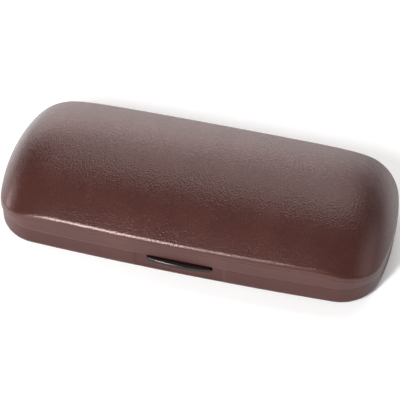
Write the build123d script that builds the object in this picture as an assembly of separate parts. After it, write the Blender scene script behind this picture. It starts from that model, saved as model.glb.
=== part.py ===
from build123d import *
from math import hypot, sqrt
import os

# Millimetres. X runs along the case, -Y is the front with the button, Z is up from the underside.
# The origin is the middle of the whole part's box, on its underside.

# Outline of the lid, seen from above: four shallow arcs joined by four corner arcs.
HALF_LENGTH = 80.0
HALF_DEPTH = 33.85
SIDE_RADIUS = 1580.0
END_RADIUS = 91.5
CORNER_RADIUS = 17.4

# Heights.
SEAM_Z = 10.0
CROWN_Z = 30.0
SEAM_GAP = 0.15
LID_HOLLOW_START = SEAM_Z - 3.0

# Crown: it falls away across the depth and, near the ends, along the length.
CROSS_SLOPE = 0.769
CROSS_BEND = 30.2
END_FALL = 16.7
END_POWER = 10
CROWN_GRID_X = 53
CROWN_GRID_Y = 29
CROWN_REACH_X = 82.0
CROWN_REACH_Y = 36.0
SHOULDER_RADIUS = 2.8

# Moulded shells.
WALL = 1.6
BASE_INSET = 0.4
BASE_EDGE_RADIUS = 2.7

# Gap between parts that lie against each other, how far joined shapes sink in, and how far cuts run past.
TOUCH = 0.05
SINK = 0.1
PAST = 1.0

# An edge with more than this share of its direction along Z stands upright.
UPRIGHT_SHARE = 0.9
SLOPING_SHARE = 0.7

# Frames and soft linings.
LIP_INSET = 2.1
LIP_THICKNESS = 1.2
LIP_BELOW = 2.6
LIP_ABOVE = 1.0
LID_RIM_INSET = 1.65
LID_RIM_THICKNESS = 1.1
LID_RIM_START = 1.3
LID_RIM_HEIGHT = 0.7
LINING_THICKNESS = 1.2
LINING_BLOCK_GAP = 0.4
LINING_SOFT_RADIUS = 2.0
TRAY_SOFT_RADIUS = 2.5
CUSHION_HALF_LENGTH = 64.0
CUSHION_FRONT = -20.5
CUSHION_BACK = 26.5
CUSHION_THICKNESS = 2.4
CUSHION_CORNER = 12.0
CUSHION_EDGE = 1.0

# Hinge.
HINGE_Y = 33.75
KNUCKLE_RADIUS = 2.0
KNUCKLE_CLEARANCE = 0.35
PIN_RADIUS = 0.7
PIN_HOLE_RADIUS = 0.75
PIN_HALF_LENGTH = 9.1
STATION_X = 38.0
LID_KNUCKLE_HALF = 4.0
BASE_KNUCKLE_LENGTH = 5.0
KNUCKLE_GAP = 0.3
WEB_INNER_Y = 32.1
BASE_WEB_Y = 32.6
LID_WEB_Y = 33.2
BASE_WEB_DROP = 6.0
LID_WEB_RISE = 5.0

# Push button.
BUTTON_HALF = 12.9
BUTTON_FRONT = -35.75
BUTTON_END_FRONT = -34.6
BUTTON_TOP = SEAM_Z - 0.35
BUTTON_HEIGHT = 2.25
BUTTON_CORNER = 0.6
BUTTON_EDGE = 0.45
SLOT_HALF = 13.3
SLOT_DEPTH = 2.95
RECESS_HALF = 17.4
RECESS_RAMP = 1.5
RECESS_DEPTH = 0.6
RECESS_START_Z = 1.9
RECESS_REACH = 3.0
FLANGE_HALF = 14.6
FLANGE_FRONT = -31.5
FLANGE_THICKNESS = 1.1
FLANGE_BOTTOM = SEAM_Z - 4.4
FLANGE_TOP = SEAM_Z - 0.5
SHANK_HALF = 8.8
SHANK_BACK = -28.45
SHANK_BOTTOM = SEAM_Z - 4.2
SHANK_TOP = SEAM_Z - 1.1

# Hook plate behind the button.
SLIDE_FRONT = -28.4
SLIDE_THICKNESS = 0.9
SLIDE_HALF = 10.0
SLIDE_BOTTOM = SEAM_Z - 4.4
SLIDE_TOP = SEAM_Z - 0.9
HOOK_HALF = 3.4
HOOK_TIP = -29.8
HOOK_BOTTOM = SEAM_Z + 2.2
HOOK_TOP = SEAM_Z + 3.1
HOOK_BEVEL = 0.5
HOOK_TIP_HEIGHT = 0.3
SLIDE_SCREW_X = 5.5
SLIDE_SCREW_Z = SEAM_Z - 2.65
SLIDE_SCREW_END = -30.15
SLIDE_SCREW_RADIUS = 0.5
SLIDE_SCREW_HOLE = 0.55
SLIDE_SCREW_HEAD = 1.0
SLIDE_SCREW_HEAD_HEIGHT = 0.6

# Striker inside the lid's front wall.
STRIKER_BOSS_HALF = 9.0
STRIKER_BOSS_BACK = -30.9
STRIKER_BOSS_TOP = SEAM_Z + 5.2
STRIKER_BOSS_SINK = 0.3
STRIKER_FRONT = -30.85
STRIKER_THICKNESS = 0.9
STRIKER_HALF = 8.2
STRIKER_BOTTOM = SEAM_Z + 1.0
STRIKER_TOP = SEAM_Z + 5.0
LEDGE_BACK = -28.9
LEDGE_THICKNESS = 0.9
STRIKER_SCREW_X = 6.2
STRIKER_SCREW_Z = SEAM_Z + 3.6
STRIKER_SCREW_END = -32.6
STRIKER_SCREW_RADIUS = 0.55
STRIKER_SCREW_HOLE = 0.6
STRIKER_SCREW_HEAD = 1.15
STRIKER_SCREW_HEAD_HEIGHT = 0.65

# Room in the lid's frame and lining round the striker.
STRIKER_GAP_HALF = STRIKER_BOSS_HALF + 1.2
STRIKER_GAP_BACK = LEDGE_BACK + 0.5
STRIKER_GAP_TOP = STRIKER_TOP + 0.8

# Cross recess in a small screw's head.
CROSS_DEPTH = 0.3
CROSS_SHARE = 0.6
CROSS_HALF_WIDTH = 0.12
HEAD_ROUND_SHARE = 0.4

# Latch block, its cover and screws.
BLOCK_HALF = 20.0
BLOCK_FRONT = -31.3
BLOCK_BACK = -22.7
BLOCK_CAVITY_HALF = 14.95
BLOCK_WALL = 1.2
BLOCK_FLOOR_Z = SEAM_Z - 4.8
BLOCK_BOTTOM = 1.65
BLOCK_BEVEL = 1.3
BLOCK_HOLLOW_INSET = 1.0
BLOCK_HOLLOW_FRONT = -29.7
COVER_BOTTOM = SEAM_Z - 0.05
COVER_THICKNESS = 0.65
COVER_CORNER = 1.2
HOOK_WINDOW_HALF = 3.8
HOOK_WINDOW_FRONT = -28.8
HOOK_WINDOW_BACK = -25.7
LATCH_SCREW_X = 17.5
LATCH_SCREW_Y = -27.0
LATCH_SCREW_END_Z = 2.4
LATCH_SCREW_RADIUS = 0.7
LATCH_SCREW_HOLE = 0.8
LATCH_SCREW_HEAD = 1.5
LATCH_SCREW_HEAD_HEIGHT = 0.6
LATCH_SCREW_HEAD_ROUND = 0.3
LATCH_CROSS_HALF_LENGTH = 0.8
LATCH_CROSS_HALF_WIDTH = 0.14
LATCH_CROSS_DEPTH = 0.35
POST_RADIUS = 1.8
POST_TOP = 4.0
POST_SINK = 0.3
POST_CLEARANCE = 0.1
POST_HOLE_RADIUS = 0.75
POST_HOLE_END_Z = 2.2

# Button springs.
SPRING_X = 8.2
SPRING_RADIUS = 1.2
SPRING_WIRE = 0.2
SPRING_TURNS = 4
SPRING_FRONT = SLIDE_FRONT + SLIDE_THICKNESS
SPRING_BACK = BLOCK_BACK - BLOCK_WALL


def block(x0, x1, y0, y1, z0, z1):
    return Pos((x0 + x1) / 2, (y0 + y1) / 2, (z0 + z1) / 2) * Box(x1 - x0, y1 - y0, z1 - z0)


def rod_x(radius, x0, x1, y, z):
    return Pos((x0 + x1) / 2, y, z) * Rot(0, 90, 0) * Cylinder(radius, x1 - x0)


def rod_y(radius, x, y0, y1, z):
    return Pos(x, (y0 + y1) / 2, z) * Rot(90, 0, 0) * Cylinder(radius, y1 - y0)


def rod_z(radius, x, y, z0, z1):
    return Pos(x, y, (z0 + z1) / 2) * Cylinder(radius, z1 - z0)


def is_upright(edge):
    return abs(edge.tangent_at(0.5).Z) > UPRIGHT_SHARE


def corner_centre():
    """Centre of the corner arc in the +X +Y quarter, tangent inside to the side arc and the end arc."""
    side_y = HALF_DEPTH - SIDE_RADIUS
    end_x = HALF_LENGTH - END_RADIUS
    to_side = SIDE_RADIUS - CORNER_RADIUS
    to_end = END_RADIUS - CORNER_RADIUS
    apart = hypot(end_x, side_y)
    along = (to_side**2 - to_end**2 + apart**2) / (2 * apart)
    across = sqrt(to_side**2 - along**2)
    ux = end_x / apart
    uy = -side_y / apart
    options = [
        (along * ux + across * uy, side_y + along * uy - across * ux),
        (along * ux - across * uy, side_y + along * uy + across * ux),
    ]
    return max(options)


CORNER_X, CORNER_Y = corner_centre()


def tangent_point(centre_x, centre_y, radius):
    reach = hypot(CORNER_X - centre_x, CORNER_Y - centre_y)
    x = centre_x + (CORNER_X - centre_x) * radius / reach
    y = centre_y + (CORNER_Y - centre_y) * radius / reach
    return x, y


def outline(inset, z):
    """The lid's outline moved inward by inset, as a face at height z."""
    side = tangent_point(0, HALF_DEPTH - SIDE_RADIUS, SIDE_RADIUS - inset)
    end = tangent_point(HALF_LENGTH - END_RADIUS, 0, END_RADIUS - inset)
    toward_x = side[0] + end[0] - 2 * CORNER_X
    toward_y = side[1] + end[1] - 2 * CORNER_Y
    scale = (CORNER_RADIUS - inset) / hypot(toward_x, toward_y)
    middle = (CORNER_X + toward_x * scale, CORNER_Y + toward_y * scale)
    depth = HALF_DEPTH - inset
    length = HALF_LENGTH - inset

    def at(point, sx, sy):
        return (point[0] * sx, point[1] * sy, z)

    arcs = [
        ThreePointArc(at(side, -1, 1), (0, depth, z), at(side, 1, 1)),
        ThreePointArc(at(side, 1, 1), at(middle, 1, 1), at(end, 1, 1)),
        ThreePointArc(at(end, 1, 1), (length, 0, z), at(end, 1, -1)),
        ThreePointArc(at(end, 1, -1), at(middle, 1, -1), at(side, 1, -1)),
        ThreePointArc(at(side, 1, -1), (0, -depth, z), at(side, -1, -1)),
        ThreePointArc(at(side, -1, -1), at(middle, -1, -1), at(end, -1, -1)),
        ThreePointArc(at(end, -1, -1), (-length, 0, z), at(end, -1, 1)),
        ThreePointArc(at(end, -1, 1), at(middle, -1, 1), at(side, -1, 1)),
    ]
    return Face(Wire(arcs))


def column(inset, z0, z1):
    return Solid.extrude(outline(inset, z0), Vector(0, 0, z1 - z0))


def ring(outer_inset, thickness, z0, z1):
    return column(outer_inset, z0, z1) - column(outer_inset + thickness, z0 - PAST, z1 + PAST)


def crown_height(x, y):
    cross = CROSS_SLOPE * (sqrt(y * y + CROSS_BEND**2) - CROSS_BEND)
    end = END_FALL * (x / HALF_LENGTH) ** END_POWER
    return CROWN_Z - cross - end


def crown_point(x, y, inset):
    """A point of the crown moved inward along the crown's own normal."""
    step = 0.02
    slope_x = (crown_height(x + step, y) - crown_height(x - step, y)) / (2 * step)
    slope_y = (crown_height(x, y + step) - crown_height(x, y - step)) / (2 * step)
    share = inset / sqrt(1 + slope_x**2 + slope_y**2)
    return Vector(x + slope_x * share, y + slope_y * share, crown_height(x, y) - share)


def under_crown(inset):
    """Everything under the crown, moved inward by inset."""
    rows = []
    for i in range(CROWN_GRID_X):
        x = CROWN_REACH_X * (2 * i / (CROWN_GRID_X - 1) - 1)
        row = []
        for j in range(CROWN_GRID_Y):
            y = CROWN_REACH_Y * (2 * j / (CROWN_GRID_Y - 1) - 1)
            row.append(crown_point(x, y, inset))
        rows.append(row)
    skin = Face.make_surface_from_array_of_points(rows, tol=0.001, min_deg=3, max_deg=3)
    return Solid.extrude(skin, Vector(0, 0, -3 * CROWN_Z))


def lid_body(inset, z0, shoulder):
    """A solid lid shape from height z0 up to the crown, its shoulder rounded."""
    body = (column(inset, z0, z0 + 2 * CROWN_Z) & under_crown(inset)).solid()
    upper = [e for e in body.edges() if e.center().Z > z0 + PAST]
    rim = [e for e in upper if abs(e.tangent_at(0.5).Z) < SLOPING_SHARE]
    return body.fillet(shoulder, rim)


def base_body(inset, z0, z1, edge):
    """A solid tray shape, its lower edge rounded."""
    body = column(inset, z0, z1)
    bottom = [e for e in body.edges() if e.center().Z < z0 + SINK]
    return body.fillet(edge, bottom)


def stations():
    return [-STATION_X, STATION_X]


def base_knuckle_spans(x):
    start = LID_KNUCKLE_HALF + KNUCKLE_GAP
    end = start + BASE_KNUCKLE_LENGTH
    return [(x - end, x - start), (x + start, x + end)]


def knuckle(x0, x1, tip_z, wall_y):
    """A hinge barrel with the web that carries it, from x0 to x1."""
    lift = SEAM_GAP if tip_z > SEAM_Z else -SEAM_GAP
    corners = [
        (x0, WEB_INNER_Y, SEAM_Z + lift),
        (x0, HINGE_Y + KNUCKLE_RADIUS, SEAM_Z),
        (x0, wall_y, tip_z),
        (x0, WEB_INNER_Y, tip_z),
    ]
    web = Solid.extrude(Face(Wire.make_polygon(corners)), Vector(x1 - x0, 0, 0))
    return web + rod_x(KNUCKLE_RADIUS, x0, x1, HINGE_Y, SEAM_Z)


def make_base_shell():
    shell = base_body(BASE_INSET, 0, SEAM_Z - SEAM_GAP, BASE_EDGE_RADIUS)
    shell = shell - base_body(BASE_INSET + WALL, WALL, 2 * SEAM_Z, BASE_EDGE_RADIUS - WALL)
    for x in stations():
        half = LID_KNUCKLE_HALF + KNUCKLE_GAP
        shell = shell - rod_x(KNUCKLE_RADIUS + KNUCKLE_CLEARANCE, x - half, x + half, HINGE_Y, SEAM_Z)
        for x0, x1 in base_knuckle_spans(x):
            shell = shell + knuckle(x0, x1, SEAM_Z - BASE_WEB_DROP, BASE_WEB_Y)
            shell = shell - rod_x(PIN_HOLE_RADIUS, x0 - SINK, x1 + SINK, HINGE_Y, SEAM_Z)
    face_y = -(HALF_DEPTH - BASE_INSET)
    floor_y = face_y + RECESS_DEPTH
    outer = RECESS_HALF + RECESS_RAMP
    corners = [
        (-outer, face_y - TOUCH, RECESS_START_Z),
        (-RECESS_HALF, floor_y, RECESS_START_Z),
        (RECESS_HALF, floor_y, RECESS_START_Z),
        (outer, face_y - TOUCH, RECESS_START_Z),
        (outer, face_y - RECESS_REACH, RECESS_START_Z),
        (-outer, face_y - RECESS_REACH, RECESS_START_Z),
    ]
    recess = Solid.extrude(Face(Wire.make_polygon(corners)), Vector(0, 0, SEAM_Z))
    shell = shell - recess
    slot_back = face_y + 2 * WALL
    slot_bottom = SEAM_Z - SLOT_DEPTH
    shell = shell - block(-SLOT_HALF, SLOT_HALF, face_y - PAST, slot_back, slot_bottom, SEAM_Z + PAST)
    for x in (-LATCH_SCREW_X, LATCH_SCREW_X):
        shell = shell + rod_z(POST_RADIUS, x, LATCH_SCREW_Y, WALL - POST_SINK, POST_TOP)
        shell = shell - rod_z(POST_HOLE_RADIUS, x, LATCH_SCREW_Y, POST_HOLE_END_Z, POST_TOP + PAST)
    return shell


def make_base_rim():
    rim = ring(LIP_INSET, LIP_THICKNESS, SEAM_Z - LIP_BELOW, SEAM_Z + LIP_ABOVE)
    gap = BLOCK_HALF + LINING_BLOCK_GAP
    return rim - block(-gap, gap, -HALF_DEPTH, 0, 0, 2 * SEAM_Z)


def make_base_lining():
    outer_inset = BASE_INSET + WALL + TOUCH
    top = SEAM_Z - LIP_BELOW - TOUCH
    bottom = WALL + TOUCH
    whole = base_body(outer_inset, bottom, top, LINING_THICKNESS)
    inner_inset = LIP_INSET + LIP_THICKNESS
    tray = whole - base_body(inner_inset, bottom + LINING_THICKNESS, 2 * SEAM_Z, TRAY_SOFT_RADIUS)
    gap = BLOCK_HALF + LINING_BLOCK_GAP
    back = BLOCK_BACK + LINING_BLOCK_GAP
    wall_half = gap + LINING_THICKNESS
    wall_back = back + LINING_THICKNESS
    wall = whole & block(-wall_half, wall_half, -HALF_DEPTH, wall_back, bottom, top)
    return tray + wall - block(-gap, gap, -HALF_DEPTH, back, 0, 2 * SEAM_Z)


def make_base_cushion():
    bottom = WALL + TOUCH + LINING_THICKNESS + TOUCH
    length = 2 * CUSHION_HALF_LENGTH
    depth = CUSHION_BACK - CUSHION_FRONT
    middle = (CUSHION_BACK + CUSHION_FRONT) / 2
    flat = RectangleRounded(length, depth, CUSHION_CORNER)
    pad = Pos(0, middle, bottom) * extrude(flat, CUSHION_THICKNESS)
    return fillet(pad.faces().sort_by(Axis.Z)[-1].edges(), CUSHION_EDGE)


def make_lid_shell():
    shell = lid_body(0, SEAM_Z + SEAM_GAP, SHOULDER_RADIUS)
    shell = shell - lid_body(WALL, LID_HOLLOW_START, SHOULDER_RADIUS - WALL)
    for x in stations():
        for x0, x1 in base_knuckle_spans(x):
            span = (x0 - KNUCKLE_GAP, x1 + KNUCKLE_GAP)
            shell = shell - rod_x(KNUCKLE_RADIUS + KNUCKLE_CLEARANCE, span[0], span[1], HINGE_Y, SEAM_Z)
        x0 = x - LID_KNUCKLE_HALF
        x1 = x + LID_KNUCKLE_HALF
        shell = shell + knuckle(x0, x1, SEAM_Z + LID_WEB_RISE, LID_WEB_Y)
        shell = shell - rod_x(PIN_HOLE_RADIUS, x0 - SINK, x1 + SINK, HINGE_Y, SEAM_Z)
    boss_front = -(HALF_DEPTH - WALL) - STRIKER_BOSS_SINK
    half = STRIKER_BOSS_HALF
    shell = shell + block(-half, half, boss_front, STRIKER_BOSS_BACK, STRIKER_BOTTOM, STRIKER_BOSS_TOP)
    hole_end = STRIKER_SCREW_END - TOUCH
    for x in (-STRIKER_SCREW_X, STRIKER_SCREW_X):
        shell = shell - rod_y(STRIKER_SCREW_HOLE, x, hole_end, STRIKER_BOSS_BACK + PAST, STRIKER_SCREW_Z)
    return shell


def make_lid_rim():
    z0 = SEAM_Z + LID_RIM_START
    rim = ring(LID_RIM_INSET, LID_RIM_THICKNESS, z0, z0 + LID_RIM_HEIGHT)
    rim = rim & lid_body(WALL + TOUCH, LID_HOLLOW_START, SHOULDER_RADIUS - WALL - TOUCH)
    return rim - block(-STRIKER_GAP_HALF, STRIKER_GAP_HALF, -HALF_DEPTH, 0, 0, CROWN_Z)


def make_lid_lining():
    bottom = SEAM_Z + LID_RIM_START + LID_RIM_HEIGHT + TOUCH
    lining = lid_body(WALL + TOUCH, LID_HOLLOW_START, SHOULDER_RADIUS - WALL - TOUCH)
    lining = lining - lid_body(WALL + TOUCH + LINING_THICKNESS, LID_HOLLOW_START - PAST, LINING_SOFT_RADIUS)
    reach = 2 * HALF_LENGTH
    lining = lining - block(-reach, reach, -reach, reach, 0, bottom)
    half = STRIKER_GAP_HALF
    return lining - block(-half, half, -HALF_DEPTH, STRIKER_GAP_BACK, 0, STRIKER_GAP_TOP)


def make_hinge_pin(x):
    return rod_x(PIN_RADIUS, x - PIN_HALF_LENGTH, x + PIN_HALF_LENGTH, HINGE_Y, SEAM_Z)


def make_push_button():
    z0 = BUTTON_TOP - BUTTON_HEIGHT
    back = FLANGE_FRONT + SINK
    left_front = (-BUTTON_HALF, BUTTON_END_FRONT, z0)
    right_front = (BUTTON_HALF, BUTTON_END_FRONT, z0)
    left_back = (-BUTTON_HALF, back, z0)
    right_back = (BUTTON_HALF, back, z0)
    edges = [
        Line(left_back, left_front),
        ThreePointArc(left_front, (0, BUTTON_FRONT, z0), right_front),
        Line(right_front, right_back),
        Line(right_back, left_back),
    ]
    head = Solid.extrude(Face(Wire(edges)), Vector(0, 0, BUTTON_HEIGHT))
    front_corners = [e for e in head.edges() if is_upright(e) and e.center().Y < back - PAST]
    head = head.fillet(BUTTON_CORNER, front_corners)
    rounded_from = BUTTON_END_FRONT + BUTTON_CORNER
    rim = [e for e in head.edges() if not is_upright(e) and e.center().Y < rounded_from]
    head = head.fillet(BUTTON_EDGE, rim)
    flange_back = FLANGE_FRONT + FLANGE_THICKNESS
    flange = block(-FLANGE_HALF, FLANGE_HALF, FLANGE_FRONT, flange_back, FLANGE_BOTTOM, FLANGE_TOP)
    shank = block(-SHANK_HALF, SHANK_HALF, flange_back - SINK, SHANK_BACK, SHANK_BOTTOM, SHANK_TOP)
    button = head + flange + shank
    hole_end = SLIDE_SCREW_END - TOUCH
    for x in (-SLIDE_SCREW_X, SLIDE_SCREW_X):
        button = button - rod_y(SLIDE_SCREW_HOLE, x, hole_end, SHANK_BACK + PAST, SLIDE_SCREW_Z)
    return button


def make_latch_slide():
    back = SLIDE_FRONT + SLIDE_THICKNESS
    plate = block(-SLIDE_HALF, SLIDE_HALF, SLIDE_FRONT, back, SLIDE_BOTTOM, SLIDE_TOP)
    neck = block(-HOOK_HALF, HOOK_HALF, SLIDE_FRONT, back, SLIDE_TOP - PAST, HOOK_TOP)
    corners = [
        (-HOOK_HALF, HOOK_TIP, HOOK_BOTTOM),
        (-HOOK_HALF, SLIDE_FRONT + SINK, HOOK_BOTTOM),
        (-HOOK_HALF, SLIDE_FRONT + SINK, HOOK_TOP),
        (-HOOK_HALF, SLIDE_FRONT - HOOK_BEVEL, HOOK_TOP),
        (-HOOK_HALF, HOOK_TIP, HOOK_BOTTOM + HOOK_TIP_HEIGHT),
    ]
    hook = Solid.extrude(Face(Wire.make_polygon(corners)), Vector(2 * HOOK_HALF, 0, 0))
    slide = plate + neck + hook
    for x in (-SLIDE_SCREW_X, SLIDE_SCREW_X):
        slide = slide - rod_y(SLIDE_SCREW_HOLE, x, SLIDE_FRONT - PAST, back + PAST, SLIDE_SCREW_Z)
    return slide


def small_screw_y(x, z, seat_y, end_y, shank, head, head_height):
    """A screw along Y, its head behind seat_y, with a cross recess."""
    screw = rod_y(shank, x, end_y, seat_y + SINK, z)
    top = seat_y + head_height
    cap = rod_y(head, x, seat_y, top, z)
    rear = [e for e in cap.edges() if e.center().Y > seat_y + SINK]
    cap = fillet(rear, head_height * HEAD_ROUND_SHARE)
    reach = head * CROSS_SHARE
    width = CROSS_HALF_WIDTH
    cross = block(x - reach, x + reach, top - CROSS_DEPTH, top + PAST, z - width, z + width)
    cross = cross + block(x - width, x + width, top - CROSS_DEPTH, top + PAST, z - reach, z + reach)
    return screw + (cap - cross)


def make_latch_slide_screw(x):
    seat = SLIDE_FRONT + SLIDE_THICKNESS
    head = SLIDE_SCREW_HEAD
    height = SLIDE_SCREW_HEAD_HEIGHT
    return small_screw_y(x, SLIDE_SCREW_Z, seat, SLIDE_SCREW_END, SLIDE_SCREW_RADIUS, head, height)


def make_striker():
    back = STRIKER_FRONT + STRIKER_THICKNESS
    plate = block(-STRIKER_HALF, STRIKER_HALF, STRIKER_FRONT, back, STRIKER_BOTTOM, STRIKER_TOP)
    ledge_top = STRIKER_BOTTOM + LEDGE_THICKNESS
    ledge = block(-STRIKER_HALF, STRIKER_HALF, STRIKER_FRONT, LEDGE_BACK, STRIKER_BOTTOM, ledge_top)
    striker = plate + ledge
    front = STRIKER_FRONT - PAST
    for x in (-STRIKER_SCREW_X, STRIKER_SCREW_X):
        striker = striker - rod_y(STRIKER_SCREW_HOLE, x, front, LEDGE_BACK + PAST, STRIKER_SCREW_Z)
    return striker


def make_striker_screw(x):
    seat = STRIKER_FRONT + STRIKER_THICKNESS
    head = STRIKER_SCREW_HEAD
    height = STRIKER_SCREW_HEAD_HEIGHT
    return small_screw_y(x, STRIKER_SCREW_Z, seat, STRIKER_SCREW_END, STRIKER_SCREW_RADIUS, head, height)


def make_latch_housing():
    top = COVER_BOTTOM - TOUCH
    body = block(-BLOCK_HALF, BLOCK_HALF, BLOCK_FRONT, BLOCK_BACK, BLOCK_BOTTOM, top)
    low_front = [e for e in body.faces().sort_by(Axis.Z)[0].edges() if e.center().Y < BLOCK_FRONT + SINK]
    body = chamfer(low_front, BLOCK_BEVEL)
    half = BLOCK_CAVITY_HALF
    back = BLOCK_BACK - BLOCK_WALL
    body = body - block(-half, half, BLOCK_FRONT - PAST, back, BLOCK_FLOOR_Z, top + PAST)
    half = BLOCK_CAVITY_HALF - BLOCK_HOLLOW_INSET
    under_floor = BLOCK_FLOOR_Z - BLOCK_WALL
    body = body - block(-half, half, BLOCK_HOLLOW_FRONT, back, BLOCK_BOTTOM - PAST, under_floor)
    for x in (-LATCH_SCREW_X, LATCH_SCREW_X):
        body = body - rod_z(POST_RADIUS + POST_CLEARANCE, x, LATCH_SCREW_Y, 0, POST_TOP + TOUCH)
        body = body - rod_z(LATCH_SCREW_HOLE, x, LATCH_SCREW_Y, 0, top + PAST)
    return body


def make_latch_cover():
    top = COVER_BOTTOM + COVER_THICKNESS
    cover = block(-BLOCK_HALF, BLOCK_HALF, BLOCK_FRONT, BLOCK_BACK, COVER_BOTTOM, top)
    back_corners = [e for e in cover.edges() if is_upright(e) and e.center().Y > BLOCK_BACK - PAST]
    cover = fillet(back_corners, COVER_CORNER)
    half = HOOK_WINDOW_HALF
    cover = cover - block(-half, half, HOOK_WINDOW_FRONT, HOOK_WINDOW_BACK, 0, 2 * top)
    for x in (-LATCH_SCREW_X, LATCH_SCREW_X):
        cover = cover - rod_z(LATCH_SCREW_HOLE, x, LATCH_SCREW_Y, 0, 2 * top)
    return cover


def make_latch_screw(x):
    seat = COVER_BOTTOM + COVER_THICKNESS
    top = seat + LATCH_SCREW_HEAD_HEIGHT
    y = LATCH_SCREW_Y
    screw = rod_z(LATCH_SCREW_RADIUS, x, y, LATCH_SCREW_END_Z, seat + SINK)
    cap = rod_z(LATCH_SCREW_HEAD, x, y, seat, top)
    upper = [e for e in cap.edges() if e.center().Z > seat + SINK]
    cap = fillet(upper, LATCH_SCREW_HEAD_ROUND)
    reach = LATCH_CROSS_HALF_LENGTH
    width = LATCH_CROSS_HALF_WIDTH
    low = top - LATCH_CROSS_DEPTH
    cross = block(x - reach, x + reach, y - width, y + width, low, top + PAST)
    cross = cross + block(x - width, x + width, y - reach, y + reach, low, top + PAST)
    return screw + (cap - cross)


def make_button_spring(x):
    """A coil along Y between the hook plate and the block's back wall."""
    length = SPRING_BACK - SPRING_FRONT - 2 * SPRING_WIRE
    pitch = length / SPRING_TURNS
    path = Edge.make_helix(pitch, length, SPRING_RADIUS)
    start = path.position_at(0)
    direction = path.tangent_at(0)
    section = Face(Wire.make_circle(SPRING_WIRE, Plane(start, z_dir=direction)))
    coil = Solid.sweep(section, path=Wire([path]), is_frenet=True)
    return Pos(x, SPRING_BACK - SPRING_WIRE, SLIDE_SCREW_Z) * Rot(90, 0, 0) * coil


def write(name, *shapes):
    solids = [solid for shape in shapes for solid in shape.solids()]
    whole = solids[0] if len(solids) == 1 else Compound(children=solids)
    export_step(whole, "parts/" + name + ".step")


def both_sides(make, x):
    return [make(-x), make(x)]


def main():
    os.makedirs("parts", exist_ok=True)
    write("base_shell", make_base_shell())
    write("base_rim", make_base_rim())
    write("base_lining", make_base_lining())
    write("base_cushion", make_base_cushion())
    write("lid_shell", make_lid_shell())
    write("lid_rim", make_lid_rim())
    write("lid_lining", make_lid_lining())
    write("hinge_pin_left", make_hinge_pin(-STATION_X))
    write("hinge_pin_right", make_hinge_pin(STATION_X))
    write("push_button", make_push_button())
    write("latch_slide", make_latch_slide())
    write("latch_slide_screws", *both_sides(make_latch_slide_screw, SLIDE_SCREW_X))
    write("striker", make_striker())
    write("striker_screws", *both_sides(make_striker_screw, STRIKER_SCREW_X))
    write("latch_housing", make_latch_housing())
    write("latch_cover", make_latch_cover())
    write("latch_screws", *both_sides(make_latch_screw, LATCH_SCREW_X))
    write("button_spring_left", make_button_spring(-SPRING_X))
    write("button_spring_right", make_button_spring(SPRING_X))


main()
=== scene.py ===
from math import atan2, cos, hypot, pi, radians, sin, sqrt

import bmesh
import bpy
import numpy as np
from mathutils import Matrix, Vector, noise


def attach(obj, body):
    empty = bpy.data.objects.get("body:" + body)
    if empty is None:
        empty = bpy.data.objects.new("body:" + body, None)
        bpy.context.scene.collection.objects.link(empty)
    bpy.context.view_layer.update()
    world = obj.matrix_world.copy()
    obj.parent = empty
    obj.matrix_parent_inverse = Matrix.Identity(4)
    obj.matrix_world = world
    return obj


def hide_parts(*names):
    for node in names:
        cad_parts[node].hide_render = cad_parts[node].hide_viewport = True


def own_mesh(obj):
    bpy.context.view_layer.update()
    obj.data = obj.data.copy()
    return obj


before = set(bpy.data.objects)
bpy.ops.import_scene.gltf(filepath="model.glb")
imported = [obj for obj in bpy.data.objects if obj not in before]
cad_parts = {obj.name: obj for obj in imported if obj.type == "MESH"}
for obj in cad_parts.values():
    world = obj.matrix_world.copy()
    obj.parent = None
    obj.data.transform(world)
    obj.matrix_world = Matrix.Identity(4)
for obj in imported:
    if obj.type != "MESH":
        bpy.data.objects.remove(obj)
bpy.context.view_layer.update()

# All shape dimensions are in millimetres, turned into metres when a mesh is made.
MM = 0.001

# Outline of the lid from above: side, end and corner arcs.
HALF_LENGTH = 80.0
HALF_DEPTH = 33.85
SIDE_RADIUS = 1580.0
END_RADIUS = 91.5
CORNER_RADIUS = 17.4

# Crown of the lid and heights.
SEAM_Z = 10.0
SEAM_GAP = 0.15
CROWN_Z = 30.0
CROSS_SLOPE = 0.769
CROSS_BEND = 30.2
END_FALL = 16.7
END_POWER = 10
SHOULDER_RADIUS = 2.8
WALL = 1.6
CORE_INSET = 8.0
CORE_SHARE = 0.55
# Fine step between the plain wall and the grained shoulder.
PARTING_DROP = 0.2
PARTING_HEIGHT = 0.3
PARTING_STEP = 0.12
PARTING_SHARES = (0.2, 0.5, 0.8, 1.0)
# Rounding of both shells' edges at the seam.
LIP_RADIUS = 0.36

# Columns of the lid's outline along a quarter of it, and the gap between two columns at a sharp step.
END_COLUMNS = 15
CORNER_COLUMNS = 33
SIDE_COLUMNS = 44
SHARP = 0.03
# A column counts as inside a stretch when it is past its limit by less than this.
SLACK = 0.01
# Rows of points over the lips, the base's lower edge and wall, the webs and the frames' corners.
LIP_ROWS = 5
EDGE_ROWS = 14
WALL_ROWS = 14
INNER_WALL_ROWS = 5
WEB_ROWS = 9
FRAME_CORNER_ROWS = 4
TRAY_EDGE_ROWS = 4
TRAY_BEND_ROWS = 9
CUSHION_SIDE_ROWS = 13
# Rows from a ring to the case's middle line, few on hidden faces and more where they are seen.
CORE_ROWS_HIDDEN = 8
CORE_ROWS_INSIDE = 10
CORE_ROWS_UNDER = 12
CORE_ROWS_SOFT = 22
CUSHION_CORE_ROWS_UNDER = 6
# Step over which the crown's slope is taken, and how often the search for the shoulder halves its range.
SLOPE_STEP = 0.01
HALVINGS = 40
# Rows crowd towards the shoulder by this power.
ROW_CROWDING = 1.3

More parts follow.
